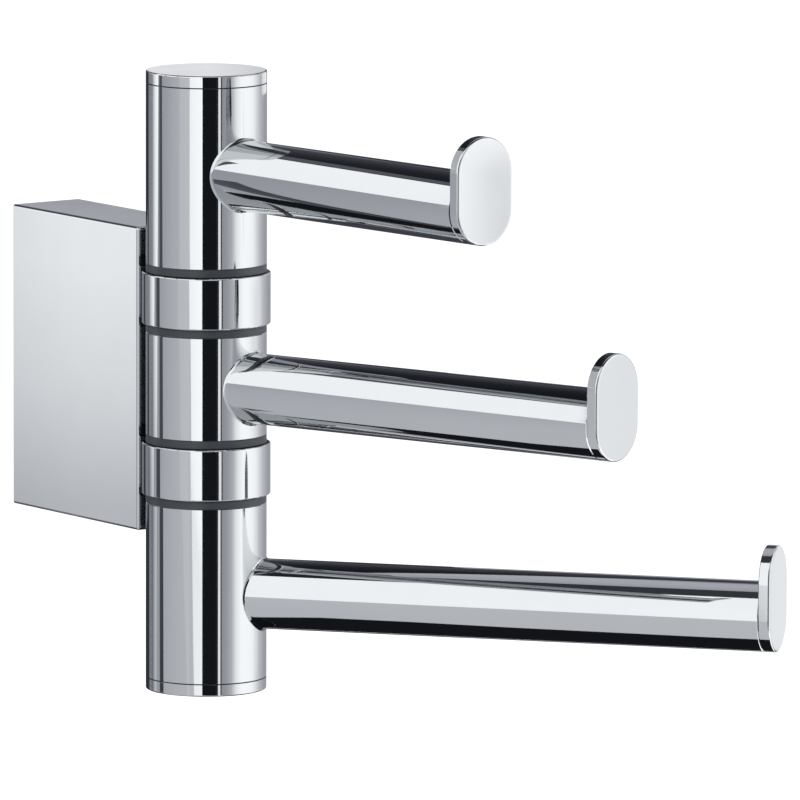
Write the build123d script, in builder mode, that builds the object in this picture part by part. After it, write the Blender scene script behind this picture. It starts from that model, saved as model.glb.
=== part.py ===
# Wall-mounted towel hook: three arms that swing on an upright column, in millimetres
# Frame: origin at the middle of the wall face, +Z up, +X right, the hook stands out along -Y
import os
from math import cos, radians, sin

from build123d import *

# Column, from the middle section outwards
column_d = 24.0
upper_barrel_h = 36.0
middle_barrel_h = 20.5
lower_barrel_h = 35.0
ring_d = 25.5
ring_h = 10.3
ring_edge_r = 0.3
flange_t = 1.6
column_cap_t = 2.45
column_cap_edge_r = 0.3
seam_break = 0.12

# Mounting block, open at the wall; its ends pass the outer two flanges of the column by the margin
block_w = 16.2
block_end_margin = 6.55
block_depth = 45.0
block_side_wall = 2.0
block_end_wall = 2.4
block_front_wall = 4.0
block_edge_r = 0.55
cavity_corner_r = 1.0

# Column against block: the gap behind the barrels, and the column's middle above the block's
column_gap = 0.25
column_rise = 0.2

# Arms, named from the top: reach is from the column's axis to the outer face of the end cap
arm_d = 14.0
arm_names = ("upper", "middle", "lower")
arm_reaches = (84.0, 100.3, 117.2)
arm_rises = (0.5, -0.25, -0.5)
arm_rest_angles = (5.6, 18.4, 39.2)
arm_end_break = 0.2
saddle_blend_r = 0.7
end_cap_t = 2.4
lip_h = 7.2
end_cap_edge_r = 0.45
end_cap_back_break = 0.15
cap_peg_d = 8.0
cap_peg_l = 5.0
stud_d = 6.0
stud_in_barrel = 5.0
stud_in_arm = 9.0

# Pivot inside the column
spindle_d = 8.0
spindle_end_break = 0.7
spindle_tail = 1.0
spindle_slot_w = 1.2
spindle_slot_depth = 1.4
bush_wall = 1.5
barrel_sleeve_l = 9.0
middle_sleeve_l = 6.0
nut_bush_t = 1.5
nut_bush_margin = 1.0
nut_w = 13.0
nut_h = 4.0
spring_t = 0.6
spring_h = 1.3
spring_margin = 0.6
nut_pocket_margin = 1.8
cap_spigot_h = 2.6
cap_spigot_wall = 2.0

# Bracket on the wall
plate_t = 3.0
plate_foot_t = 4.0
plate_foot_l = 8.0
plate_side_gap = 0.3
plate_bend_r = 1.0
wall_hole_d = 4.5
wall_hole_spacing = 22.0
wall_screw_head_d = 8.0

# Screws
screw_d = 4.0
screw_hole_d = 4.4
screw_head_d = 7.0
screw_head_h = 4.0
screw_key_w = 3.0
screw_key_depth = 2.0
grub_l = 6.0
grub_key_w = 2.0
grub_key_depth = 2.2
grub_point_l = 1.0
grub_reach = 7.0
grub_boss_d = 8.0
grub_boss_h = 1.5
grub_recess = 0.3

# Clearances
running_gap = 0.05
seat_gap = 0.02
end_gap = 0.5
overrun = 1.0

# Derived places
column_r = column_d / 2
column_reach = block_depth + column_gap + column_r
ring_low = middle_barrel_h / 2 + flange_t + running_gap
ring_high = ring_low + ring_h
barrel_start = ring_high + running_gap + flange_t
ring_middle = (ring_low + ring_high) / 2
ring_screw_places = ((0, ring_middle + column_rise), (0, -ring_middle + column_rise))
upper_barrel_end = barrel_start + upper_barrel_h
lower_barrel_end = barrel_start + lower_barrel_h
barrel_middles = (barrel_start + upper_barrel_h / 2, 0, -barrel_start - lower_barrel_h / 2)
arm_heights = tuple(middle + rise for middle, rise in zip(barrel_middles, arm_rises))

spindle_r = spindle_d / 2
sleeve_bore_r = spindle_r + running_gap
barrel_bore_r = sleeve_bore_r + bush_wall
nut_pocket_r = nut_w / 2 / cos(radians(30)) + nut_pocket_margin / 2
nut_stack_h = nut_bush_t + running_gap + spring_h + nut_h
nut_pocket_depth = nut_stack_h + spindle_tail + end_gap + cap_spigot_h

block_h = 2 * (barrel_start + block_end_margin)
cavity_w = block_w - 2 * block_side_wall
cavity_h = block_h - 2 * block_end_wall
cavity_depth = block_depth - block_front_wall

column_axis = Axis((0, -column_reach, 0), (0, 0, 1))
column_section = Plane(origin=(0, -column_reach, column_rise), x_dir=(1, 0, 0), z_dir=(0, -1, 0))


def column_level(height):
    """A level plane centred on the column's axis, at a height above the column's middle."""
    return Plane(origin=(0, -column_reach, height + column_rise), x_dir=(1, 0, 0), z_dir=(0, 0, 1))


def arm_plane(angle, height):
    """The plane square to an arm at the column's axis: its normal runs out along the arm, its Y is up."""
    side = (cos(radians(angle)), sin(radians(angle)), 0)
    outwards = (sin(radians(angle)), -cos(radians(angle)), 0)
    return Plane(origin=column_level(height).origin, x_dir=side, z_dir=outwards)


def arm_axis(arm):
    """The line along the middle of an arm, outwards."""
    return Axis(arm.origin, arm.z_dir)


def turned(points):
    """A ring turned about the column's axis from its half section, given as (radius, height) points."""
    with BuildPart() as ring:
        with BuildSketch(column_section):
            with BuildLine():
                Polyline(*points, close=True)
            make_face()
        revolve(axis=column_axis)
    return ring


def make_wall_plate():
    """C-shaped steel bracket with a foot at each end, countersunk for two wall screws."""
    foot_top = cavity_h / 2 - plate_side_gap
    foot_bottom = -cavity_h / 2 + grub_boss_h + plate_side_gap
    reach = plate_t + plate_foot_l
    width = cavity_w - 2 * plate_side_gap
    with BuildPart() as plate:
        with BuildSketch(Plane.YZ.offset(-width / 2)):
            with BuildLine():
                Polyline(
                    (0, foot_bottom),
                    (-reach, foot_bottom),
                    (-reach, foot_bottom + plate_foot_t),
                    (-plate_t, foot_bottom + plate_foot_t),
                    (-plate_t, foot_top - plate_foot_t),
                    (-reach, foot_top - plate_foot_t),
                    (-reach, foot_top),
                    (0, foot_top),
                    close=True,
                )
            make_face()
        extrude(amount=width)
        foot_tips, inner_corners, _ = plate.edges().filter_by(Axis.X).group_by(Axis.Y)
        fillet(foot_tips + inner_corners, plate_bend_r)
        with Locations(Plane.XZ.offset(plate_t)):
            with GridLocations(0, wall_hole_spacing, 1, 2):
                CounterSinkHole(wall_hole_d / 2, wall_screw_head_d / 2)
        with BuildSketch(Plane.XY.offset(foot_bottom)):
            with Locations((0, -grub_reach)):
                Circle(screw_d / 2 + plate_side_gap / 2)
        extrude(amount=grub_top() + plate_side_gap - foot_bottom, mode=Mode.SUBTRACT)
    return plate


def grub_top():
    """Height of the set screw's point."""
    return -block_h / 2 + grub_recess + grub_l


def make_mounting_block():
    """Hollow block, open at the wall, with rounded edges and a thick front for the ring screws."""
    with BuildPart() as block:
        with BuildSketch(Plane.XZ):
            Rectangle(block_w, block_h)
        extrude(amount=block_depth)
        front_edges, long_edges, _ = block.edges().group_by(Axis.Y)
        fillet(front_edges + long_edges, block_edge_r)
        with BuildSketch(Plane.XZ):
            RectangleRounded(cavity_w, cavity_h, cavity_corner_r)
        extrude(amount=cavity_depth, mode=Mode.SUBTRACT)
        with BuildSketch(Plane.XZ.offset(cavity_depth)):
            with Locations(*ring_screw_places):
                Circle(screw_hole_d / 2)
        extrude(amount=block_front_wall, mode=Mode.SUBTRACT)
        with BuildSketch(Plane.XY.offset(-cavity_h / 2)):
            with Locations((0, -grub_reach)):
                Circle(grub_boss_d / 2)
        extrude(amount=grub_boss_h)
        with BuildSketch(Plane.XY.offset(-block_h / 2)):
            with Locations((0, -grub_reach)):
                Circle(screw_d / 2 + seat_gap)
        extrude(amount=block_end_wall + grub_boss_h, mode=Mode.SUBTRACT)
    return block


def make_block_grub_screw():
    """Set screw with a key socket below and a cone point above."""
    start = -block_h / 2 + grub_recess
    with BuildPart() as grub:
        with BuildSketch(Plane.XY.offset(start)):
            with Locations((0, -grub_reach)):
                Circle(screw_d / 2)
        extrude(amount=grub_l)
        chamfer(grub.edges().sort_by(Axis.Z)[-1], grub_point_l)
        with BuildSketch(Plane.XY.offset(start)):
            with Locations((0, -grub_reach)):
                RegularPolygon(grub_key_w / 2, 6, major_radius=False)
        extrude(amount=grub_key_depth, mode=Mode.SUBTRACT)
    return grub


def make_ring(middle):
    """Fixed ring of the column: round, with a flat at the back that seats on the block."""
    with BuildPart() as ring:
        with BuildSketch(column_level(middle - ring_h / 2)):
            Circle(ring_d / 2)
        extrude(amount=ring_h)
        fillet(ring.edges().filter_by(GeomType.CIRCLE), ring_edge_r)
        with BuildSketch(column_level(middle - ring_h / 2)):
            Circle(spindle_r + seat_gap)
        extrude(amount=ring_h, mode=Mode.SUBTRACT)
        split(bisect_by=Plane.XZ.offset(block_depth), keep=Keep.TOP)
        with BuildSketch(Plane.XZ.offset(block_depth)):
            with Locations((0, middle + column_rise)):
                Circle(screw_d / 2 + seat_gap)
        extrude(amount=column_reach - block_depth, mode=Mode.SUBTRACT)
    return ring


def make_ring_screws():
    """Socket head screws from inside the block into the rings, one solid for each ring."""
    shank = column_reach - spindle_r - 2 * running_gap - cavity_depth
    with BuildPart() as screws:
        with BuildSketch(Plane.XZ.offset(cavity_depth - screw_head_h)):
            with Locations(*ring_screw_places):
                Circle(screw_head_d / 2)
        extrude(amount=screw_head_h)
        with BuildSketch(Plane.XZ.offset(cavity_depth)):
            with Locations(*ring_screw_places):
                Circle(screw_d / 2)
        extrude(amount=shank)
        with BuildSketch(Plane.XZ.offset(cavity_depth - screw_head_h)):
            with Locations(*ring_screw_places):
                RegularPolygon(screw_key_w / 2, 6, major_radius=False)
        extrude(amount=screw_key_depth, mode=Mode.SUBTRACT)
    return screws


def make_spindle():
    """Fixed pin through the whole column, threaded at both ends, with a slot at the top."""
    top = upper_barrel_end - nut_pocket_depth + nut_stack_h + spindle_tail
    bottom = -lower_barrel_end + nut_pocket_depth - nut_stack_h - spindle_tail
    with BuildPart() as spindle:
        with BuildSketch(column_level(bottom)):
            Circle(spindle_r)
        extrude(amount=top - bottom)
        chamfer(spindle.edges().filter_by(GeomType.CIRCLE), spindle_end_break)
        with BuildSketch(column_level(top - spindle_slot_depth)):
            Rectangle(spindle_d, spindle_slot_w)
        extrude(amount=spindle_slot_depth, mode=Mode.SUBTRACT)
    return spindle


def nut_levels():
    """Where each nut stack starts, at the pocket floor, with the way it builds up."""
    return ((upper_barrel_end - nut_pocket_depth, 1), (-lower_barrel_end + nut_pocket_depth, -1))


def make_spindle_nuts():
    """Thin hexagon nuts at both ends of the spindle, one solid each."""
    with BuildPart() as nuts:
        for floor, way in nut_levels():
            start = floor + way * (nut_bush_t + running_gap + spring_h)
            with BuildSketch(column_level(start)):
                RegularPolygon(nut_w / 2, 6, major_radius=False)
                Circle(spindle_r + seat_gap, mode=Mode.SUBTRACT)
            extrude(amount=way * nut_h)
    return nuts


def make_disc_springs():
    """Conical springs between bush and nut, one solid each, wide end on the bush."""
    inner = spindle_r + running_gap
    outer = nut_w / 2 + spring_margin
    with BuildPart() as springs:
        for floor, way in nut_levels():
            foot = floor + way * (nut_bush_t + running_gap)
            with BuildSketch(column_section):
                with BuildLine():
                    Polyline(
                        (inner, foot + way * (spring_h - spring_t)),
                        (outer, foot),
                        (outer, foot + way * spring_t),
                        (inner, foot + way * spring_h),
                        close=True,
                    )
                make_face()
            revolve(axis=column_axis)
    return springs


def make_barrel(low, height, arm, pocket):
    """Swinging section of the column: bored for its bushes, with a nut pocket at its outer end.

    pocket is 1 for a pocket at the top, -1 for one at the bottom and 0 for none.
    """
    high = low + height
    with BuildPart() as barrel:
        with BuildSketch(column_level(low)):
            Circle(column_r)
        extrude(amount=height)
        chamfer(barrel.edges().filter_by(GeomType.CIRCLE), seam_break)
        with BuildSketch(column_level(low)):
            Circle(barrel_bore_r)
        extrude(amount=height, mode=Mode.SUBTRACT)
        if pocket:
            with BuildSketch(column_level(high if pocket > 0 else low)):
                Circle(nut_pocket_r)
            extrude(amount=-pocket * nut_pocket_depth, mode=Mode.SUBTRACT)
        with BuildSketch(arm.offset(column_r - stud_in_barrel - seat_gap)):
            Circle(stud_d / 2 + seat_gap)
        extrude(amount=stud_in_barrel + overrun, mode=Mode.SUBTRACT)
    return barrel


def make_flanged_bush(face, way, sleeve_l):
    """Dark bush: its flange lies on the barrel's end face, its sleeve runs into the barrel.

    face is the height of the barrel's end and way is 1 where the barrel is above it.
    """
    sleeve_r = barrel_bore_r - seat_gap
    return turned(
        (
            (sleeve_bore_r, face - way * flange_t),
            (column_r - seam_break, face - way * flange_t),
            (column_r, face - way * (flange_t - seam_break)),
            (column_r, face - way * seam_break),
            (column_r - seam_break, face),
            (sleeve_r, face),
            (sleeve_r, face + way * sleeve_l),
            (sleeve_bore_r, face + way * sleeve_l),
        )
    )


def make_nut_bush(floor, way):
    """Bush at the floor of a nut pocket, with a small flange under the disc spring."""
    sleeve_r = barrel_bore_r - seat_gap
    flange_r = nut_pocket_r - nut_bush_margin / 2
    return turned(
        (
            (sleeve_bore_r, floor + way * nut_bush_t),
            (flange_r, floor + way * nut_bush_t),
            (flange_r, floor),
            (sleeve_r, floor),
            (sleeve_r, floor - way * barrel_sleeve_l),
            (sleeve_bore_r, floor - way * barrel_sleeve_l),
        )
    )


def make_column_cap(face, way):
    """Disc that closes the column, with a hollow spigot that fits the nut pocket."""
    spigot_r = nut_pocket_r - seat_gap
    with BuildPart() as cap:
        with BuildSketch(column_level(face)):
            Circle(column_r)
        extrude(amount=way * column_cap_t)
        outer_rim, seam = cap.edges().filter_by(GeomType.CIRCLE).sort_by(Axis.Z, reverse=way > 0)
        chamfer(seam, seam_break)
        fillet(outer_rim, column_cap_edge_r)
        with BuildSketch(column_level(face)):
            Circle(spigot_r)
            Circle(spigot_r - cap_spigot_wall, mode=Mode.SUBTRACT)
        extrude(amount=-way * cap_spigot_h)
    return cap


def make_arm_bar(arm, height, reach):
    """Round bar, flared and saddle cut to seat on its barrel, bored for its stud and the end cap's peg."""
    tip = reach - end_cap_t
    with BuildPart() as bar:
        with BuildSketch(arm):
            Circle(arm_d / 2)
        extrude(amount=tip)
        chamfer(bar.edges().sort_by(arm_axis(arm))[-1], arm_end_break)
        with BuildSketch(column_level(height - arm_d)):
            Circle(column_r)
        extrude(amount=2 * arm_d)
        seat = bar.edges().filter_by(lambda edge: edge.geom_type not in (GeomType.CIRCLE, GeomType.LINE))
        fillet(seat, saddle_blend_r)
        with BuildSketch(column_level(height - arm_d)):
            Circle(column_r + seat_gap)
        extrude(amount=2 * arm_d, mode=Mode.SUBTRACT)
        with BuildSketch(arm):
            Circle(stud_d / 2 + seat_gap)
        extrude(amount=column_r + stud_in_arm + seat_gap, mode=Mode.SUBTRACT)
        with BuildSketch(arm.offset(tip - cap_peg_l - seat_gap)):
            Circle(cap_peg_d / 2 + seat_gap)
        extrude(amount=cap_peg_l + overrun, mode=Mode.SUBTRACT)
    return bar


def make_arm_stud(arm):
    """Threaded stud, half in the barrel and half in the arm."""
    with BuildPart() as stud:
        with BuildSketch(arm.offset(column_r - stud_in_barrel)):
            Circle(stud_d / 2)
        extrude(amount=stud_in_barrel + stud_in_arm)
        chamfer(stud.edges().filter_by(GeomType.CIRCLE), spindle_end_break)
    return stud


def make_end_cap(arm, reach):
    """Flat end cap: a plate with half-round ends, flush with the arm below and a lip above it."""
    with BuildPart() as cap:
        with BuildSketch(arm.offset(reach - end_cap_t)):
            with Locations((0, lip_h / 2)):
                SlotOverall(arm_d + lip_h, arm_d, rotation=90)
        extrude(amount=end_cap_t)
        faces_outwards = cap.faces().sort_by(arm_axis(arm))
        back_edges, front_edges = faces_outwards[0].edges(), faces_outwards[-1].edges()
        chamfer(back_edges, end_cap_back_break)
        fillet(front_edges, end_cap_edge_r)
        with BuildSketch(arm.offset(reach - end_cap_t)):
            Circle(cap_peg_d / 2)
        extrude(amount=-cap_peg_l)
    return cap


arms = [arm_plane(angle, height) for angle, height in zip(arm_rest_angles, arm_heights)]
upper_nut, lower_nut = nut_levels()

pieces = {
    "wall_plate": make_wall_plate(),
    "mounting_block": make_mounting_block(),
    "block_grub_screw": make_block_grub_screw(),
    "upper_ring": make_ring(ring_middle),
    "lower_ring": make_ring(-ring_middle),
    "ring_screws": make_ring_screws(),
    "spindle": make_spindle(),
    "spindle_nuts": make_spindle_nuts(),
    "disc_springs": make_disc_springs(),
    "upper_barrel": make_barrel(barrel_start, upper_barrel_h, arms[0], 1),
    "middle_barrel": make_barrel(-middle_barrel_h / 2, middle_barrel_h, arms[1], 0),
    "lower_barrel": make_barrel(-lower_barrel_end, lower_barrel_h, arms[2], -1),
    "upper_flanged_bush": make_flanged_bush(barrel_start, 1, barrel_sleeve_l),
    "middle_top_bush": make_flanged_bush(middle_barrel_h / 2, -1, middle_sleeve_l),
    "middle_bottom_bush": make_flanged_bush(-middle_barrel_h / 2, 1, middle_sleeve_l),
    "lower_flanged_bush": make_flanged_bush(-barrel_start, -1, barrel_sleeve_l),
    "upper_nut_bush": make_nut_bush(*upper_nut),
    "lower_nut_bush": make_nut_bush(*lower_nut),
    "column_top_cap": make_column_cap(upper_barrel_end, 1),
    "column_bottom_cap": make_column_cap(-lower_barrel_end, -1),
}
for name, arm, height, reach in zip(arm_names, arms, arm_heights, arm_reaches):
    pieces[f"{name}_arm_bar"] = make_arm_bar(arm, height, reach)
    pieces[f"{name}_arm_stud"] = make_arm_stud(arm)
    pieces[f"{name}_end_cap"] = make_end_cap(arm, reach)

os.makedirs("parts", exist_ok=True)
for label, piece in pieces.items():
    piece.part.label = label
    export_step(piece.part, f"parts/{label}.step")
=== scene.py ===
"""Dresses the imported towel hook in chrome, acetal, steel and zinc, and builds the studio it stands in."""
from math import atan2, cos, pi, radians, sin

import bpy
import numpy as np
from mathutils import Matrix, Vector


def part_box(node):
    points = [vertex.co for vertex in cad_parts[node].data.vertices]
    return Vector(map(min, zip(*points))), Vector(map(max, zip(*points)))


bl_info = {
    "name": "Towel hook",
    "version": (1, 0, 0),
    "blender": (4, 5, 0),
    "location": "View3D > Sidebar > Towel hook",
    "description": "Finishes and studio of a chrome towel hook with three swing arms",
    "category": "Object",
}

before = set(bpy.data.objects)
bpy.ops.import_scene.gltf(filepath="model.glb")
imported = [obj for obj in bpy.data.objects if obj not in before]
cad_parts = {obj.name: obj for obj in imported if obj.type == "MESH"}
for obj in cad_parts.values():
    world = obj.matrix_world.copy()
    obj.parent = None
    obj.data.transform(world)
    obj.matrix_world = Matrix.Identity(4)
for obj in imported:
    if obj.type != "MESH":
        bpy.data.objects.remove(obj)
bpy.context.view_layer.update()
column_low, column_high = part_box("middle_barrel")
column_middle = (column_low + column_high) / 2

arm_names = ("upper", "middle", "lower")

# spacing in metres of the bands that a wave texture of scale 1 draws, the sine of 20 times the place
wave_spacing = pi / 10

# height of the dark card under the hook, and the line of (right, forward) points in which it meets the grey
# sheet, in millimetres from the column's middle
under_height = -150
sheet_foot = [(-298, -101), (-140, -36), (-32, 9), (-27, 28), (-22, 50), (-3, 54), (20, 52), (63, 57),
              (165, 90)]

# panes that a card has between two of its points, so that its brightness runs smoothly
card_panes = 12

plain_white = (1.0, 1.0, 1.0, 1.0)


def from_hex(code):
    """An sRGB hex colour as linear red, green and blue."""
    srgb = np.array([int(code[place:place + 2], 16) for place in (1, 3, 5)]) / 255
    return tuple(np.where(srgb <= 0.04045, srgb / 12.92, ((srgb + 0.055) / 1.055) ** 2.4).tolist())


def colour_setting(name, code, description):
    """A colour, given as sRGB hex."""
    return bpy.props.FloatVectorProperty(
        name=name, description=description, subtype="COLOR", size=3, min=0, max=1, default=from_hex(code)
    )


def share_setting(name, value, description):
    """A share, from 0 to 1."""
    return bpy.props.FloatProperty(
        name=name, description=description, default=value, min=0, max=1, subtype="FACTOR"
    )


def strength_setting(name, value, description):
    """A brightness or its multiplier, where 1 is white."""
    return bpy.props.FloatProperty(name=name, description=description, default=value, min=0, max=5)


def length_setting(name, value, description):
    """A length in metres."""
    return bpy.props.FloatProperty(
        name=name, description=description, default=value, unit="LENGTH", precision=5
    )


def angle_setting(name, degrees, description):
    """An angle, given in degrees and kept in radians."""
    return bpy.props.FloatProperty(
        name=name, description=description, default=radians(degrees), subtype="ANGLE"
    )


class HookFinish(bpy.types.PropertyGroup):
    """Colours and surface sizes of the hook's finishes."""

    chrome: colour_setting("Chrome", "#CBCED0", "Colour of the polished chrome plate, a faint cold grey")
    chrome_roughness: share_setting("Chrome roughness", 0.03, "Roughness of the buffed plate")
    haze: share_setting("Polishing haze", 0.03, "How much rougher the plate is where the buff left haze")
    haze_size: length_setting("Haze patch", 0.009, "Width of one patch of polishing haze")
    ripple_size: length_setting("Plate ripple", 0.005, "Length of the soft ripple in the plate")
    ripple_depth: length_setting("Ripple depth", 0.0000006, "Depth of that ripple")
    buff_line: length_setting("Buffing line", 0.00012, "Spacing of the fine lines that buffing leaves")
    buff_depth: length_setting("Buffing line depth", 0.00000002, "Depth of those lines")
    # the seam line's colour is partly polishing compound and partly painted shade: the end discs meet the
    # barrels flush, so this dark line paints the shade of the seam
    paste: colour_setting("Buffing paste", "#16181C", "Dark line of buffing paste in the seams of the column")
    paste_and_seam_shade_roughness: share_setting("Paste roughness", 0.6, "Roughness of that dark line")
    seam_width: length_setting("Seam line", 0.00022, "Height of that dark line")
    # painted shade: the next colour is a darker grey painted on the block's front where the column stands
    # close by, for the shade in the narrow gap between them
    gap_shade: colour_setting("Crevice", "#74777C", "Dull plate behind the column, out of the buff's reach")
    gap_shade_width: length_setting("Crevice width", 0.0147, "Width of that dull plate on the block's front")
    cast_chrome: colour_setting("Unpolished chrome", "#A9ABAE", "Thin dull plate inside the hollow block")
    cast_grain: length_setting("Cast grain", 0.0006, "Size of the grain of the unpolished casting")
    side_wall: length_setting("Block side wall", 0.002, "Thickness of the block's side walls")
    end_wall: length_setting("Block end wall", 0.0024, "Thickness of the block's top and bottom walls")
    front_wall: length_setting("Block front wall", 0.004, "Thickness of the block's front wall")
    dull_edge: length_setting("Dull edge", 0.0002, "How far the hollow's dull plate runs on into its walls")
    bush: colour_setting("Bush", "#33383E", "Dark slate acetal of the bushes")
    bush_roughness: share_setting("Bush roughness", 0.38, "Roughness of the moulded acetal")
    bush_cloud: length_setting("Bush cloud", 0.004, "Width of one darker or lighter cloud in the acetal")
    bush_grain: length_setting("Bush grain", 0.00035, "Size of the moulded grain")
    bush_grain_depth: length_setting("Bush grain depth", 0.000004, "Depth of that grain")
    steel: colour_setting("Steel", "#B5B6B8", "Turned steel of spindle, studs, screws and nuts")
    steel_cloud: length_setting("Steel cloud", 0.002, "Width of one darker cloud in the steel")
    steel_line: length_setting("Turning mark", 0.0025133, "Spacing of the marks, coarse enough to show")
    steel_line_depth: length_setting("Turning mark depth", 0.00001, "Depth of those marks")
    zinc: colour_setting("Zinc", "#BFC3C8", "Zinc plate on the wall bracket")
    zinc_cloud: length_setting("Zinc cloud", 0.003, "Width of one darker cloud in the zinc plate")
    zinc_grain: length_setting("Zinc grain", 0.0003, "Width of the grain of the rolled sheet under the zinc")
    zinc_grain_depth: length_setting("Zinc grain depth", 0.000003, "Depth of that grain")


class HookStudio(bpy.types.PropertyGroup):
    """Camera, floor and the cards that the chrome mirrors."""

    azimuth: angle_setting("Camera azimuth", -35.0406, "Camera heading: 0 looks along +Y")
    elevation: angle_setting("Camera elevation", 7.8936, "Camera height above the horizon")
    roll: angle_setting("Camera roll", 0.1508, "Turn of the camera about its line of sight")
    distance: length_setting("Camera distance", 2.5609, "From the column's middle to the camera")
    slide_right: length_setting("Camera slide", 0.0384028, "How far right of the column the camera aims")
    slide_down: length_setting("Camera drop", 0.0035574, "How far below the column's middle the camera aims")
    lens: bpy.props.FloatProperty(
        name="Lens", description="Focal length on a 36 mm sensor", default=581.364, min=1, unit="CAMERA"
    )
    floor_drop: length_setting("Floor drop", 0.32, "Height of the hook's origin above the floor")
    floor_radius: length_setting("Floor radius", 7.0, "Radius of the round floor")
    floor: colour_setting("Floor", "#F2F2F2", "Pale floor")
    floor_lift: share_setting("Floor lift", 0.7, "White added to the floor for the eye and for mirrors")
    world_light: share_setting("World light", 0.45, "Strength of the white world as light on matt surfaces")
    power: strength_setting(
        "Card power", 1.28, "Strength of a card of brightness 1, which makes up for the chrome's loss"
    )
    shade_tint: colour_setting("Shade tint", "#D0D9FF", "Cold tint of the darkest cards")
    white: strength_setting("White card", 1.12, "Brightness of the white cards")
    grey: strength_setting("Grey card", 0.55, "Brightness of the grey cards, which their own shades multiply")
    black: strength_setting("Black card", 0.012, "Brightness of the black cards")


def add_node(tree, kind, inputs=None, **settings):
    """Adds a node, sets its properties, and sets or links its inputs, given by name or number."""
    node = tree.nodes.new(kind)
    for name, value in settings.items():
        setattr(node, name, value)
    for key, value in (inputs or {}).items():
        if isinstance(value, bpy.types.NodeSocket):
            tree.links.new(value, node.inputs[key])
        else:
            node.inputs[key].default_value = value
    return node


def new_material(name):
    """A material with an empty node tree, and that tree."""
    material = bpy.data.materials.new(name)
    material.use_nodes = True
    material.node_tree.nodes.clear()
    return material, material.node_tree


def opaque(colour, share=1.0):
    """A share of a linear colour, with the alpha that a node's colour takes."""
    return (*[channel * share for channel in colour], 1.0)


def within(tree, value, limit):
    """1 where a value is less than the limit away from 0, to either side, and 0 elsewhere."""
    size = add_node(tree, "ShaderNodeMath", {0: value}, operation="ABSOLUTE").outputs[0]
    return add_node(tree, "ShaderNodeMath", {0: size, 1: limit}, operation="LESS_THAN").outputs[0]


def buffed_chrome(tree, place, finish, turn=0.0, along="Z"):
    """Colour, roughness and normal of bright nickel-chrome plate on brass, buffed on a wheel.

    The eye gets a clean mirror with a faint cold tint, a little haze in patches, and lines finer than it can
    tell apart that run round the bar. Turn and along lay those lines across the bar's own axis.
    """
    haze = add_node(
        tree, "ShaderNodeTexNoise", {"Vector": place, "Scale": 1 / finish.haze_size, "Detail": 3.0}
    ).outputs["Fac"]
    ripple = add_node(
        tree, "ShaderNodeTexNoise", {"Vector": place, "Scale": 1 / finish.ripple_size, "Detail": 1.0}
    ).outputs["Fac"]
    turned = add_node(
        tree, "ShaderNodeMapping", {"Vector": place, "Rotation": (0.0, 0.0, turn)}
    ).outputs["Vector"]
    # a buffing line is 50 times as long as it is wide
    stretch = [1.0 if axis == along else 0.02 for axis in "XYZ"]
    lined = add_node(tree, "ShaderNodeMapping", {"Vector": turned, "Scale": stretch}).outputs["Vector"]
    lines = add_node(
        tree, "ShaderNodeTexNoise", {"Vector": lined, "Scale": 1 / finish.buff_line, "Detail": 2.0}
    ).outputs["Fac"]
    waved = add_node(
        tree, "ShaderNodeBump", {"Height": ripple, "Strength": 1.0, "Distance": finish.ripple_depth}
    ).outputs["Normal"]
    normal = add_node(
        tree,
        "ShaderNodeBump",
        {"Height": lines, "Strength": 1.0, "Distance": finish.buff_depth, "Normal": waved},
    ).outputs["Normal"]
    # haze starts at 0.35 of the noise and is full at 0.75, so that it comes in patches
    roughness = add_node(
        tree,
        "ShaderNodeMapRange",
        {
            "Value": haze,
            "From Min": 0.35,
            "From Max": 0.75,
            "To Min": finish.chrome_roughness,
            "To Max": finish.chrome_roughness + finish.haze,
        },
    ).outputs["Result"]
    colour = add_node(
        tree,
        "ShaderNodeMix",
        {"Factor": haze, "A": opaque(finish.chrome), "B": opaque(finish.chrome, 0.965)},
        data_type="RGBA",
    ).outputs["Result"]
    return colour, roughness, normal


def finish_metal(tree, colour, roughness, normal, metallic=1.0):
    """Ends a material as metal, where metallic isn't less for what covers it."""
    shader = add_node(
        tree,
        "ShaderNodeBsdfPrincipled",
        {"Base Color": colour, "Metallic": metallic, "Roughness": roughness, "Normal": normal},
    )
    add_node(tree, "ShaderNodeOutputMaterial", {"Surface": shader.outputs["BSDF"]})


def bar_chrome_material(finish, name, turn):
    """Polished chrome on a level bar and its end cap, buffed across the bar's length."""
    material, tree = new_material(name)
    place = add_node(tree, "ShaderNodeTexCoord").outputs["Object"]
    colour, roughness, normal = buffed_chrome(tree, place, finish, turn, "Y")
    finish_metal(tree, colour, roughness, normal)
    return material


def seamed_chrome_material(finish, name, seams):
    """Polished chrome on the column, with a dark line in the seams of its end discs: polishing compound and
    painted shade of the seam.

    The line is where a point's height lies within half the line's width of a seam.
    """
    material, tree = new_material(name)
    place = add_node(tree, "ShaderNodeTexCoord").outputs["Object"]
    plate, buffed, normal = buffed_chrome(tree, place, finish)
    height = add_node(tree, "ShaderNodeSeparateXYZ", {"Vector": place}).outputs["Z"]
    # the dark seam line: polishing compound and painted shade, as the discs meet the barrels flush
    paste = 0.0
    for seam in seams:
        at_seam = add_node(
            tree, "ShaderNodeMath", {0: height, 1: seam, 2: finish.seam_width / 2}, operation="COMPARE"
        ).outputs[0]
        paste = add_node(tree, "ShaderNodeMath", {0: at_seam, 1: paste}, operation="MAXIMUM").outputs[0]
    colour = add_node(
        tree, "ShaderNodeMix", {"Factor": paste, "A": plate, "B": opaque(finish.paste)}, data_type="RGBA"
    ).outputs["Result"]
    roughness = add_node(
        tree, "ShaderNodeMix", {"Factor": paste, "A": buffed, "B": finish.paste_and_seam_shade_roughness}, data_type="FLOAT"
    ).outputs["Result"]
    metal = add_node(tree, "ShaderNodeMath", {0: 1.0, 1: paste}, operation="SUBTRACT").outputs[0]
    finish_metal(tree, colour, roughness, normal, metal)
    return material


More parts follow.
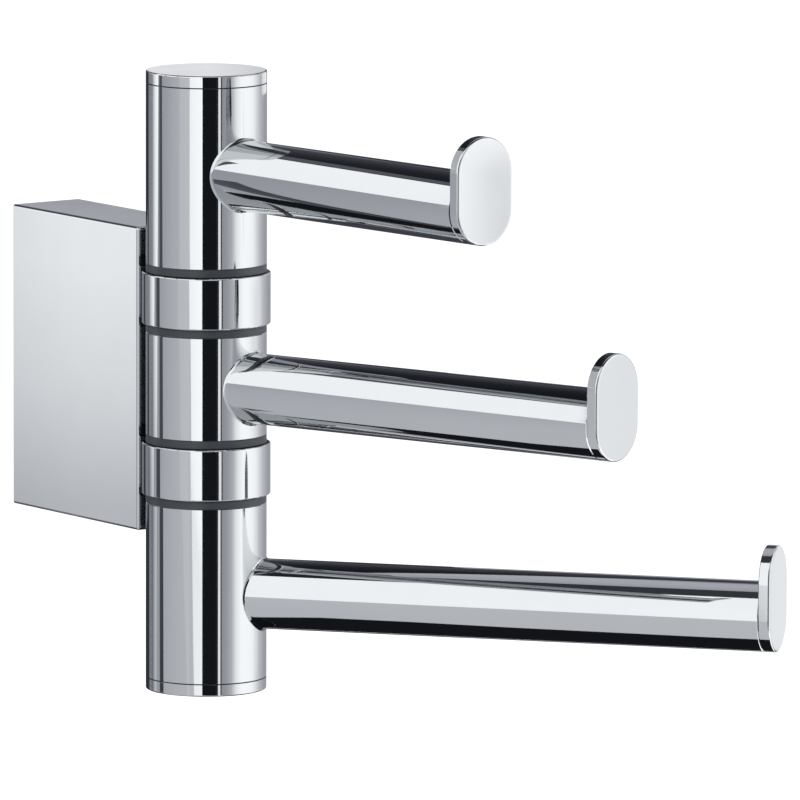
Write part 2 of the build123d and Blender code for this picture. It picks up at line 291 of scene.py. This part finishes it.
def hollow_chrome_material(finish, name, low, high):
    """Polished chrome outside the hollow block, and the dull thin plate of the unpolished casting inside it.

    Low and high are the block's corners. The inside is where a point lies nearer the block's middle than the
    walls do, and behind the front wall. The front of the block is painted a darker grey where the column
    stands
    close by: painted shade of the narrow gap between them.
    """
    material, tree = new_material(name)
    place = add_node(tree, "ShaderNodeTexCoord").outputs["Object"]
    plate, buffed, normal = buffed_chrome(tree, place, finish)
    axes = add_node(tree, "ShaderNodeSeparateXYZ", {"Vector": place}).outputs

    reaches = {
        "X": high.x - finish.side_wall + finish.dull_edge,
        "Z": high.z - finish.end_wall + finish.dull_edge,
        "Y": -low.y - finish.front_wall + finish.dull_edge,
    }
    hollow = 1.0
    for axis, reach in reaches.items():
        hollow = add_node(
            tree, "ShaderNodeMath", {0: within(tree, axes[axis], reach), 1: hollow}, operation="MULTIPLY"
        ).outputs[0]

    # a point within 0.1 mm of the front counts as on it
    on_front = add_node(
        tree, "ShaderNodeMath", {0: axes["Y"], 1: low.y + 0.0001}, operation="LESS_THAN"
    ).outputs[0]
    # painted shade: the block's front behind the column takes a darker grey, for the shade of the narrow gap
    behind_column = within(tree, axes["X"], finish.gap_shade_width / 2)
    gap_shade = add_node(
        tree, "ShaderNodeMath", {0: behind_column, 1: on_front}, operation="MULTIPLY"
    ).outputs[0]

    outside = add_node(
        tree, "ShaderNodeMix", {"Factor": gap_shade, "A": plate, "B": opaque(finish.gap_shade)}, data_type="RGBA"
    ).outputs["Result"]
    colour = add_node(
        tree,
        "ShaderNodeMix",
        {"Factor": hollow, "A": outside, "B": opaque(finish.cast_chrome)},
        data_type="RGBA",
    ).outputs["Result"]
    grain = add_node(
        tree, "ShaderNodeTexNoise", {"Vector": place, "Scale": 1 / finish.cast_grain, "Detail": 3.0}
    ).outputs["Fac"]
    dull = add_node(
        tree, "ShaderNodeMapRange", {"Value": grain, "To Min": 0.38, "To Max": 0.55}
    ).outputs["Result"]
    roughness = add_node(
        tree, "ShaderNodeMix", {"Factor": hollow, "A": buffed, "B": dull}, data_type="FLOAT"
    ).outputs["Result"]
    finish_metal(tree, colour, roughness, normal)
    return material


def acetal_material(finish, name):
    """Moulded dark acetal: matt slate with a soft sheen and a fine grain."""
    material, tree = new_material(name)
    place = add_node(tree, "ShaderNodeTexCoord").outputs["Object"]
    cloud = add_node(
        tree, "ShaderNodeTexNoise", {"Vector": place, "Scale": 1 / finish.bush_cloud, "Detail": 2.0}
    ).outputs["Fac"]
    colour = add_node(
        tree,
        "ShaderNodeMix",
        {"Factor": cloud, "A": opaque(finish.bush, 0.85), "B": opaque(finish.bush, 1.15)},
        data_type="RGBA",
    ).outputs["Result"]
    grain = add_node(
        tree, "ShaderNodeTexNoise", {"Vector": place, "Scale": 1 / finish.bush_grain, "Detail": 3.0}
    ).outputs["Fac"]
    normal = add_node(
        tree, "ShaderNodeBump", {"Height": grain, "Strength": 1.0, "Distance": finish.bush_grain_depth}
    ).outputs["Normal"]
    roughness = add_node(
        tree,
        "ShaderNodeMapRange",
        {"Value": grain, "To Min": finish.bush_roughness - 0.06, "To Max": finish.bush_roughness + 0.08},
    ).outputs["Result"]
    shader = add_node(
        tree,
        "ShaderNodeBsdfPrincipled",
        {"Base Color": colour, "Roughness": roughness, "IOR": 1.48, "Normal": normal},
    )
    add_node(tree, "ShaderNodeOutputMaterial", {"Surface": shader.outputs["BSDF"]})
    return material


def steel_material(finish, name, turn=0.0, along="Z"):
    """Plain turned steel: grey metal with tool marks round its axis, which turn and along give."""
    material, tree = new_material(name)
    place = add_node(tree, "ShaderNodeTexCoord").outputs["Object"]
    cloud = add_node(
        tree, "ShaderNodeTexNoise", {"Vector": place, "Scale": 1 / finish.steel_cloud, "Detail": 3.0}
    ).outputs["Fac"]
    colour = add_node(
        tree,
        "ShaderNodeMix",
        {"Factor": cloud, "A": opaque(finish.steel), "B": opaque(finish.steel, 0.72)},
        data_type="RGBA",
    ).outputs["Result"]
    turned = add_node(
        tree, "ShaderNodeMapping", {"Vector": place, "Rotation": (0.0, 0.0, turn)}
    ).outputs["Vector"]
    marks = add_node(
        tree,
        "ShaderNodeTexWave",
        {"Vector": turned, "Scale": wave_spacing / finish.steel_line, "Distortion": 0.6, "Detail": 1.0},
        wave_type="BANDS",
        bands_direction=along,
    ).outputs["Fac"]
    normal = add_node(
        tree, "ShaderNodeBump", {"Height": marks, "Strength": 0.6, "Distance": finish.steel_line_depth}
    ).outputs["Normal"]
    roughness = add_node(
        tree, "ShaderNodeMapRange", {"Value": marks, "To Min": 0.24, "To Max": 0.4}
    ).outputs["Result"]
    finish_metal(tree, colour, roughness, normal)
    return material


def zinc_material(finish, name):
    """Zinc-plated sheet steel: cold and clouded, with the fine grain of the rolled sheet along its length."""
    material, tree = new_material(name)
    place = add_node(tree, "ShaderNodeTexCoord").outputs["Object"]
    cloud = add_node(
        tree, "ShaderNodeTexNoise", {"Vector": place, "Scale": 1 / finish.zinc_cloud, "Detail": 4.0}
    ).outputs["Fac"]
    colour = add_node(
        tree,
        "ShaderNodeMix",
        {"Factor": cloud, "A": opaque(finish.zinc), "B": opaque(finish.zinc, 0.7)},
        data_type="RGBA",
    ).outputs["Result"]
    # the grain is some 17 times as long as it is wide
    rolled = add_node(
        tree, "ShaderNodeMapping", {"Vector": place, "Scale": (1.0, 1.0, 0.06)}
    ).outputs["Vector"]
    grain = add_node(
        tree, "ShaderNodeTexNoise", {"Vector": rolled, "Scale": 1 / finish.zinc_grain, "Detail": 2.0}
    ).outputs["Fac"]
    normal = add_node(
        tree, "ShaderNodeBump", {"Height": grain, "Strength": 1.0, "Distance": finish.zinc_grain_depth}
    ).outputs["Normal"]
    roughness = add_node(
        tree,
        "ShaderNodeMapRange",
        {"Value": cloud, "From Min": 0.3, "From Max": 0.7, "To Min": 0.28, "To Max": 0.46},
    ).outputs["Result"]
    finish_metal(tree, colour, roughness, normal)
    return material


def dress(node, material):
    """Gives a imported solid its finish."""
    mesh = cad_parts[node].data
    mesh.materials.clear()
    mesh.materials.append(material)


def arm_turn(name):
    """The angle of an arm in the level plane, from its end cap's place against the column."""
    low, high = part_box(f"{name}_end_cap")
    out = (low + high) / 2 - column_middle
    return atan2(out.x, -out.y)


class HOOK_OT_block(bpy.types.Operator):
    """Polished chrome on the hollow block that stands off the wall"""

    bl_idname = "towel_hook.block"
    bl_label = "Mounting block"

    def execute(self, context):
        low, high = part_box("mounting_block")
        chrome = hollow_chrome_material(
            context.scene.hook_finish, "polished chrome plate on cast brass", low, high
        )
        dress("mounting_block", chrome)
        return {"FINISHED"}


class HOOK_OT_column(bpy.types.Operator):
    """Polished chrome on the turned sections, rings and end discs of the column"""

    bl_idname = "towel_hook.column"
    bl_label = "Column"

    def execute(self, context):
        seams = (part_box("upper_barrel")[1].z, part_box("lower_barrel")[0].z)
        chrome = seamed_chrome_material(
            context.scene.hook_finish, "polished chrome plate on turned brass", seams
        )
        for name in arm_names:
            dress(f"{name}_barrel", chrome)
        for node in ("upper_ring", "lower_ring", "column_top_cap", "column_bottom_cap"):
            dress(node, chrome)
        return {"FINISHED"}


class HOOK_OT_arms(bpy.types.Operator):
    """Polished chrome on the three round arms and their end caps, buffed across their length"""

    bl_idname = "towel_hook.arms"
    bl_label = "Arms"

    def execute(self, context):
        for name in arm_names:
            chrome = bar_chrome_material(
                context.scene.hook_finish, f"polished chrome plate on brass bar {name}", -arm_turn(name)
            )
            dress(f"{name}_arm_bar", chrome)
            dress(f"{name}_end_cap", chrome)
        return {"FINISHED"}


class HOOK_OT_bushes(bpy.types.Operator):
    """Dark acetal on the bushes, whose flanges show as washers between the sections"""

    bl_idname = "towel_hook.bushes"
    bl_label = "Bushes"

    def execute(self, context):
        acetal = acetal_material(context.scene.hook_finish, "moulded dark acetal")
        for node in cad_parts:
            if node.endswith("_bush"):
                dress(node, acetal)
        return {"FINISHED"}


class HOOK_OT_pivot(bpy.types.Operator):
    """Turned steel on the spindle, its nuts and springs, the studs and the screws"""

    bl_idname = "towel_hook.pivot"
    bl_label = "Spindle, nuts, springs, studs and screws"

    def execute(self, context):
        finish = context.scene.hook_finish
        upright = steel_material(finish, "turned steel upright")
        for node in ("spindle", "spindle_nuts", "disc_springs", "block_grub_screw"):
            dress(node, upright)
        dress("ring_screws", steel_material(finish, "turned steel screws", along="Y"))
        for name in arm_names:
            steel = steel_material(finish, f"turned steel stud {name}", -arm_turn(name), "Y")
            dress(f"{name}_arm_stud", steel)
        return {"FINISHED"}


class HOOK_OT_bracket(bpy.types.Operator):
    """Zinc plate on the wall bracket"""

    bl_idname = "towel_hook.bracket"
    bl_label = "Wall bracket"

    def execute(self, context):
        dress("wall_plate", zinc_material(context.scene.hook_finish, "zinc plate on sheet steel"))
        return {"FINISHED"}


def studio_axes(studio):
    """Unit vectors towards the camera and to its right, in the level plane, and upwards."""
    heading = studio.azimuth
    return (
        Vector((sin(heading), -cos(heading), 0.0)),
        Vector((cos(heading), sin(heading), 0.0)),
        Vector((0.0, 0.0, 1.0)),
    )


def make_camera(context, studio):
    """The camera at the photograph's place: a long lens a little above the hook, from its left front."""
    towards, right, up = studio_axes(studio)
    back = towards * cos(studio.elevation) + up * sin(studio.elevation)
    level_up = back.cross(right)
    across = right * cos(studio.roll) + level_up * sin(studio.roll)
    upwards = level_up * cos(studio.roll) - right * sin(studio.roll)
    place = column_middle + back * studio.distance + across * studio.slide_right - upwards * studio.slide_down
    data = bpy.data.cameras.new("camera")
    data.sensor_width = 36.0
    data.lens = studio.lens
    data.clip_start = 0.1
    data.clip_end = 100.0
    camera = bpy.data.objects.new("camera", data)
    turn = Matrix((across, upwards, back)).transposed()
    camera.matrix_world = Matrix.Translation(place) @ turn.to_4x4()
    context.scene.collection.objects.link(camera)
    context.scene.camera = camera


def seen_white(tree):
    """1 for what the camera, a mirror or glass sees directly, and 0 for the light a matt surface gathers."""
    rays = add_node(tree, "ShaderNodeLightPath").outputs
    either = add_node(
        tree, "ShaderNodeMath", {0: rays["Is Camera Ray"], 1: rays["Is Glossy Ray"]}, operation="MAXIMUM"
    ).outputs[0]
    return add_node(
        tree, "ShaderNodeMath", {0: either, 1: rays["Is Transmission Ray"]}, operation="MAXIMUM"
    ).outputs[0]


def make_world(context, studio):
    """White to the eye, to mirrors and to glass, and a softer white as light."""
    world = bpy.data.worlds.new("white studio")
    world.use_nodes = True
    tree = world.node_tree
    tree.nodes.clear()
    strength = add_node(
        tree, "ShaderNodeMapRange", {"Value": seen_white(tree), "To Min": studio.world_light, "To Max": 1.0}
    ).outputs["Result"]
    back = add_node(tree, "ShaderNodeBackground", {"Color": plain_white, "Strength": strength})
    add_node(tree, "ShaderNodeOutputWorld", {"Surface": back.outputs["Background"]})
    context.scene.world = world


def floor_material(studio):
    """Matt pale floor that looks white to the eye and to mirrors, and is clear from below."""
    material, tree = new_material("matt pale floor")
    matt = add_node(tree, "ShaderNodeBsdfDiffuse", {"Color": opaque(studio.floor)}).outputs["BSDF"]
    strength = add_node(
        tree, "ShaderNodeMapRange", {"Value": seen_white(tree), "To Min": 0.0, "To Max": studio.floor_lift}
    ).outputs["Result"]
    lift = add_node(
        tree, "ShaderNodeEmission", {"Color": plain_white, "Strength": strength}
    ).outputs["Emission"]
    lifted = add_node(tree, "ShaderNodeAddShader", {0: matt, 1: lift}).outputs["Shader"]
    clear = add_node(tree, "ShaderNodeBsdfTransparent").outputs["BSDF"]
    below = add_node(tree, "ShaderNodeNewGeometry").outputs["Backfacing"]
    sided = add_node(tree, "ShaderNodeMixShader", {0: below, 1: lifted, 2: clear}).outputs["Shader"]
    add_node(tree, "ShaderNodeOutputMaterial", {"Surface": sided})
    return material


def make_floor(context, studio):
    """A wide pale floor that keeps the hook's shadow: one face through points at equal angles on a circle."""
    sides = 96
    angles = np.linspace(0.0, 2 * pi, sides + 1)[:-1]
    radius = studio.floor_radius
    heights = np.full(sides, -studio.floor_drop)
    rim = np.stack([radius * np.cos(angles), radius * np.sin(angles), heights], axis=1)
    mesh = bpy.data.meshes.new("floor")
    mesh.from_pydata(rim.tolist(), [], [list(range(sides))])
    mesh.materials.append(floor_material(studio))
    floor = bpy.data.objects.new("floor", mesh)
    context.scene.collection.objects.link(floor)


def make_lamps(context, studio):
    """Soft lamps that aim at the column's middle. The chrome mirrors the cards in place of them.

    Each has its place from there (right, forward, up), its width and its height in metres, and its watts.
    """
    towards, right, up = studio_axes(studio)
    lamps = {
        "key lamp": ((1.1, 0.9, 1.0), 1.2, 1.0, 30),
        "fill lamp": ((-1.3, 0.5, 0.6), 1.0, 1.0, 6),
    }
    for name, ((aside, forward, above), width, height, watts) in lamps.items():
        offset = right * aside + towards * forward + up * above
        light = bpy.data.lights.new(name, "AREA")
        light.shape = "RECTANGLE"
        light.size = width
        light.size_y = height
        light.energy = watts
        lamp = bpy.data.objects.new(name, light)
        lamp.location = column_middle + offset
        lamp.rotation_mode = "QUATERNION"
        lamp.rotation_quaternion = (-offset).to_track_quat("-Z", "Y")
        lamp.visible_glossy = False
        lamp.visible_camera = False
        context.scene.collection.objects.link(lamp)


def glow_material(studio):
    """A lit card, seen only as a reflection: neutral where it is bright and colder the darker it is."""
    material, tree = new_material("lit card")
    level = add_node(tree, "ShaderNodeAttribute", attribute_name="glow").outputs["Fac"]
    # this power of the brightness keeps the tint to the darkest cards
    bright = add_node(
        tree, "ShaderNodeMath", {0: level, 1: 0.3}, operation="POWER", use_clamp=True
    ).outputs[0]
    tint = add_node(
        tree,
        "ShaderNodeMix",
        {"Factor": bright, "A": opaque(studio.shade_tint), "B": plain_white},
        data_type="RGBA",
    ).outputs["Result"]
    strength = add_node(tree, "ShaderNodeMath", {0: level, 1: studio.power}, operation="MULTIPLY").outputs[0]
    glow = add_node(tree, "ShaderNodeEmission", {"Color": tint, "Strength": strength})
    add_node(tree, "ShaderNodeOutputMaterial", {"Surface": glow.outputs["Emission"]})
    return material


def finer(values):
    """Puts evenly spaced in-between values after each value along the first axis."""
    share = np.linspace(0, len(values) - 1, (len(values) - 1) * card_panes + 1)
    before = np.minimum(share.astype(int), len(values) - 2)
    part = (share - before)[:, None, None]
    return values[before] * (1 - part) + values[before + 1] * part


def add_card(name, studio, material, rows, glows):
    """A card seen by reflections only, laid through rows of points, with the brightness running between them.

    Rows are broken lines of equal count, each point (right, forward, up) in millimetres from the column's
    middle, where forward is towards the camera. Glows hold a brightness for each point, or one list for every
    row. Between them, places and brightness are weighted means of the nearest four points.
    """
    towards, right, up = studio_axes(studio)
    rows = np.asarray(rows, float)
    points = np.array(column_middle) + rows / 1000 @ np.array([right, towards, up])
    glows = np.broadcast_to(np.asarray(glows, float), rows.shape[:2])
    grid = finer(np.concatenate([points, glows[..., None]], axis=2))
    grid = finer(grid.swapaxes(0, 1))
    across, along = grid.shape[:2]
    number = np.arange(across * along).reshape(across, along)
    corners = (number[:-1, :-1], number[1:, :-1], number[1:, 1:], number[:-1, 1:])
    quads = np.stack(corners, axis=2).reshape(-1, 4)
    flat = grid.reshape(-1, 4)
    mesh = bpy.data.meshes.new(name)
    mesh.from_pydata(flat[:, :3].tolist(), [], quads.tolist())
    mesh.attributes.new("glow", "FLOAT", "POINT").data.foreach_set("value", flat[:, 3].astype(np.float32))
    mesh.materials.append(material)
    card = bpy.data.objects.new(name, mesh)
    bpy.context.scene.collection.objects.link(card)
    for ray in ("camera", "diffuse", "shadow", "transmission", "volume_scatter"):
        setattr(card, f"visible_{ray}", False)


def at_heights(rows, heights):
    """Rows of (right, forward) points, each row at its own height."""
    return [[(*point, height) for point in row] for row, height in zip(rows, heights)]


def standing(edge, heights):
    """Rows of an upright card over one broken line of (right, forward) points, a row for each height."""
    return at_heights([edge] * len(heights), heights)


def lying(rows, height):
    """Rows of (right, forward) points laid at one height."""
    return at_heights(rows, [height] * len(rows))


def in_depth(right, forwards):
    """Points in a line that runs towards or away from the camera, at one distance to the right."""
    return [(right, forward) for forward in forwards]


def add_left_cards(studio, lit):
    """Left of the hook: a grey sheet that leans under it, a lit wall and roof, a lit strip and a dark end."""
    white, grey = studio.white, studio.grey
    sheet_top = [(-183, -27, 80), (-262, 139, 50), (-334, 293, 22), (-380, 390, 4), (-420, 475, -11),
                 (-460, 560, -26), (-544, 738, -58), (-800, 1282, -153), (-1250, 2240, -320)]
    sheet = [*lying([sheet_foot], under_height), sheet_top]
    shades = (0.7, 0.94, 1.05, 1.06, 1.07, 1.08, 1.1, 1.12, 1.15)
    add_card("grey_sheet", studio, lit, sheet, [shade * grey for shade in shades])
    side = [(-232, 190), (-190, 232), (-150, 256)]
    shades = (1.14, 1.18, 1.2)
    add_card("grey_side", studio, lit, standing(side, (-170, 45)), [shade * grey for shade in shades])

    roof_height = 1200
    wall = [(-700, -700), (-1100, 300), (-1100, 1900), (-126, 1900)]
    add_card("left_wall", studio, lit, standing(wall, (-600, roof_height)), [white, white, white, 1.24])
    roof = [[(-1100, 1900), (-1100, 900), (-900, 350)], [(-126, 1900), (-250, 900), (-150, 350)]]
    add_card("left_roof", studio, lit, lying(roof, roof_height), [white] * 3)

    strip = in_depth(-640, (-90, -147, -184, -232, -262, -314, -428, -500))
    heights = (-338, -173, -125, -94, -63, -12, 66)
    fall = np.outer((0.4, 0.6, 0.62, 0.87, 1.02, 1.07, 1.07), (1.2, 1.2, 1.12, 1.0, 1.0, 0.75, 0.32, 0.26))
    add_card("left_strip", studio, lit, standing(strip, heights), fall)

    low_end = [(-240, -180), (-215, -213), (-204, -221), (-112, -278), (-60, -290)]
    high_end = [(-240, -180), (-196, -230), (-184, -238), (-112, -278), (-60, -290)]
    end = at_heights([low_end, low_end, high_end, high_end], (-260, -110, 20, 100))
    add_card("left_end", studio, lit, end, [0.26, 0.28, 0.05, 0.03, 0.04])


def add_rim_cards(studio, lit):
    """Two grey slips on the left that only the rims of the upper two end caps mirror.

    Each point (forward, up) lies on the edge that is farther from the camera.
    """
    right, width = -200, 16
    slips = {
        "upper_rim_grey": [(30.2, 40), (30.5, 57), (29.3, 83), (19.5, 120), (11.5, 140), (-6.2, 176),
                           (-31.4, 214), (-67, 256), (-106, 299)],
        "middle_rim_grey": [(152.5, 36), (149.5, 57), (143.2, 94), (131, 138), (107.5, 194), (73, 256),
                            (41.5, 299)],
    }
    for name, edge in slips.items():
        rows = [[(right, forward, height), (right, forward + width, height)] for forward, height in edge]
        add_card(name, studio, lit, rows, [0.95 * studio.grey] * 2)


def add_rod_cards(studio, lit):
    """Two dark rods close by on the left that the column mirrors, the upper one nearer, clear of the arm."""
    rod = [[(-60, -1.65, 31), (-60, 6.57, 31)], [(-60, -0.7, -80), (-60, 10.3, -80)]]
    add_card("dark_rod", studio, lit, rod, [[0.128, 0.075], [0.08, 0.055]])
    near_rod = [[(-22, 5.26, 61.5), (-22, 7.57, 61.5)], [(-22, 5.33, 34.5), (-22, 7.9, 34.5)]]
    add_card("near_rod", studio, lit, near_rod, [[0.14, 0.08], [0.128, 0.075]])


def add_overhead_cards(studio, lit):
    """Above the hook: dark, with a dim strip along its left edge and a lit opening over the lowest arm."""
    height = 300
    depths = (-900, -620, -356, -235, -100)
    far_left = [in_depth(-700, depths[:4]), in_depth(-205, depths[:4])]
    add_card("overhead_left", studio, lit, lying(far_left, height), [0.06, 0.06, 0.08, 0.1])
    edge = [in_depth(-205, (*depths, 98)), in_depth(-196, (*depths, 100))]
    add_card("overhead_edge", studio, lit, lying(edge, height), [0.02] * 6)
    strip = [in_depth(-196, (*depths, 100)), in_depth(-150, (*depths, 114))]
    add_card("overhead_strip", studio, lit, lying(strip, height), [0.3, 0.15, 0.13, 0.12, 0.12, 0.12])

    slant = [(330, -900), (205, -620), (83, -356), (30, -235), (-30, -100), (-70, -6)]
    dark = [in_depth(-150, (*depths, -6)), slant]
    add_card("overhead_dark", studio, lit, lying(dark, height), [0.15, 0.08, 0.05, 0.025, 0.014, 0.014])
    bar = [[(-150, -6), (-33, -6), (250, -6), (400, -6)], [(-150, 114), (-33, 147), (250, 226), (400, 265)]]
    add_card("overhead_bar", studio, lit, lying(bar, height), [0.014, 0.05, 0.067, 0.067])
    slant_back = slant[:0:-1]
    opening = [slant_back, [(400, forward) for _, forward in slant_back]]
    add_card("overhead_opening", studio, lit, lying(opening, height), [0.42, 0.5, 0.5, 0.12, 0.05])


def add_back_card(studio, lit):
    """Behind: dark, lit where the column's top mirrors it, half lit for the block's top, lit on the right."""
    edge = [(right, -700) for right in (-500, -64, -26, -10, 5, 12, 130, 300, 900)]
    low = [0.3, 0.3, 0.1, 0.05, 0.05, 0.05, 0.05, 0.95, 0.78]
    block_part = [0.38, 0.38, 0.38, 0.36, 0.1, 0.05, 0.05, 0.95, 0.78]
    column_part = [0.75, 0.75, 0.75, 0.75, 0.6, 0.08, 0.05, 0.95, 1.0]
    high = [0.2, 0.2, 0.2, 0.2, 0.1, 0.05, 0.05, 0.5, 1.0]
    heights = (-300, 106, 110, 122, 136, 146, 152, 305)
    glows = [low, low, block_part, block_part, column_part, column_part, high, high]
    add_card("back", studio, lit, standing(edge, heights), glows)


def add_under_cards(studio, lit):
    """Below: dark under the arms, and dim beyond that, up to the horizon."""
    beyond = [(-298, -159), (-151, -141), (-32, -127), (-28, -126), (-24, -125), (-3, -123), (20, -120),
              (63, -115), (165, -103)]
    add_card("under_dark", studio, lit, lying([beyond, sheet_foot], under_height), [studio.black] * 9)
    # half a millimetre lower, because its edge runs under the dark card
    far = [[(-500, -1400), (300, -1400)], [(-400, -190), (300, -190)], [(-298, -159), (300, -95)]]
    glows = [[0.06] * 2, [0.06] * 2, [0.25] * 2]
    add_card("under_far", studio, lit, lying(far, under_height - 0.5), glows)


def add_front_cards(studio, lit):
    """In front: dark round the camera and down to the floor, and a narrow lit strip with a dark edge."""
    top, bottom = 300, -220
    sides = (-51, 150, 194)
    upright = [(right, 450) for right in sides]
    foot = [(right, 150) for right in sides]
    dark = at_heights([upright, upright, foot], (top, bottom, -310))
    add_card("camera_dark", studio, lit, dark, [studio.black, studio.black, 0.04])
    add_card("front_strip", studio, lit, standing([(194, 450), (238, 450)], (bottom, top)), [0.95] * 2)
    add_card("front_edge", studio, lit, standing([(238, 450), (262, 450)], (bottom, top)), [0.05] * 2)


def add_right_cards(studio, lit):
    """Right of the hook: lit, with a soft fall to the camera and to the wall, and a dim strip by the wall.

    The flat ends of the upper two arms mirror the two darker spots of the lit card.
    """
    edge = [(262, 450), (340, 405), (420, 350), (450, 260), (480, 175), (493, 136), (498, 124), (500, 118),
            (510, 90), (520, 0), (500, -88), (480, -175), (450, -260), (400, -340)]
    plain = [0.36, 0.42, 0.57, 0.98, 1.18, 1.2, 1.2, 1.2, 1.2, 1.18, 1.12, 0.9, 0.68, 0.5]
    upper_spot = [*plain[:6], 0.86, *plain[7:]]
    lower_spot = [*plain[:9], 1.1, 0.95, *plain[11:]]
    heights = (-400, -85, -72, -46, -38, -31, -4, 4, 500)
    glows = [plain, plain, lower_spot, lower_spot, plain, upper_spot, upper_spot, plain, plain]
    add_card("right_wall", studio, lit, standing(edge, heights), glows)
    strip = [(170, -110), (112, -160), (50, -195)]
    add_card("right_strip", studio, lit, standing(strip, (-140, 36)), [0.6, 0.38, 0.38])


class HOOK_OT_studio(bpy.types.Operator):
    """Camera, white world, pale floor, soft lamps, and the white, grey and black cards round the hook"""

    bl_idname = "towel_hook.studio"
    bl_label = "Studio"

    def execute(self, context):
        studio = context.scene.hook_studio
        make_camera(context, studio)
        make_world(context, studio)
        make_floor(context, studio)
        make_lamps(context, studio)
        lit = glow_material(studio)
        add_left_cards(studio, lit)
        add_rim_cards(studio, lit)
        add_rod_cards(studio, lit)
        add_overhead_cards(studio, lit)
        add_back_card(studio, lit)
        add_under_cards(studio, lit)
        add_front_cards(studio, lit)
        add_right_cards(studio, lit)
        return {"FINISHED"}


steps = (
    HOOK_OT_studio,
    HOOK_OT_block,
    HOOK_OT_column,
    HOOK_OT_arms,
    HOOK_OT_bushes,
    HOOK_OT_pivot,
    HOOK_OT_bracket,
)


class HOOK_PT_panel(bpy.types.Panel):
    """Lists the steps that dress the hook, with its finishes and studio settings"""

    bl_idname = "HOOK_PT_panel"
    bl_label = "Towel hook"
    bl_space_type = "VIEW_3D"
    bl_region_type = "UI"
    bl_category = "Towel hook"

    def draw(self, context):
        for step in steps:
            self.layout.operator(step.bl_idname)
        for group in (context.scene.hook_finish, context.scene.hook_studio):
            for name in type(group).__annotations__:
                self.layout.prop(group, name)


classes = (HookFinish, HookStudio, *steps, HOOK_PT_panel)


def register():
    """Makes the settings, steps and panel known to Blender."""
    for item in classes:
        bpy.utils.register_class(item)
    bpy.types.Scene.hook_finish = bpy.props.PointerProperty(type=HookFinish)
    bpy.types.Scene.hook_studio = bpy.props.PointerProperty(type=HookStudio)


def unregister():
    """Takes them out again, last one first."""
    del bpy.types.Scene.hook_studio
    del bpy.types.Scene.hook_finish
    for item in reversed(classes):
        bpy.utils.unregister_class(item)


def main():
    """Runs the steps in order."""
    register()
    bpy.context.scene.view_settings.view_transform = "Standard"
    bpy.ops.towel_hook.studio()
    bpy.ops.towel_hook.block()
    bpy.ops.towel_hook.column()
    bpy.ops.towel_hook.arms()
    bpy.ops.towel_hook.bushes()
    bpy.ops.towel_hook.pivot()
    bpy.ops.towel_hook.bracket()


if __name__ == "__main__":
    main()
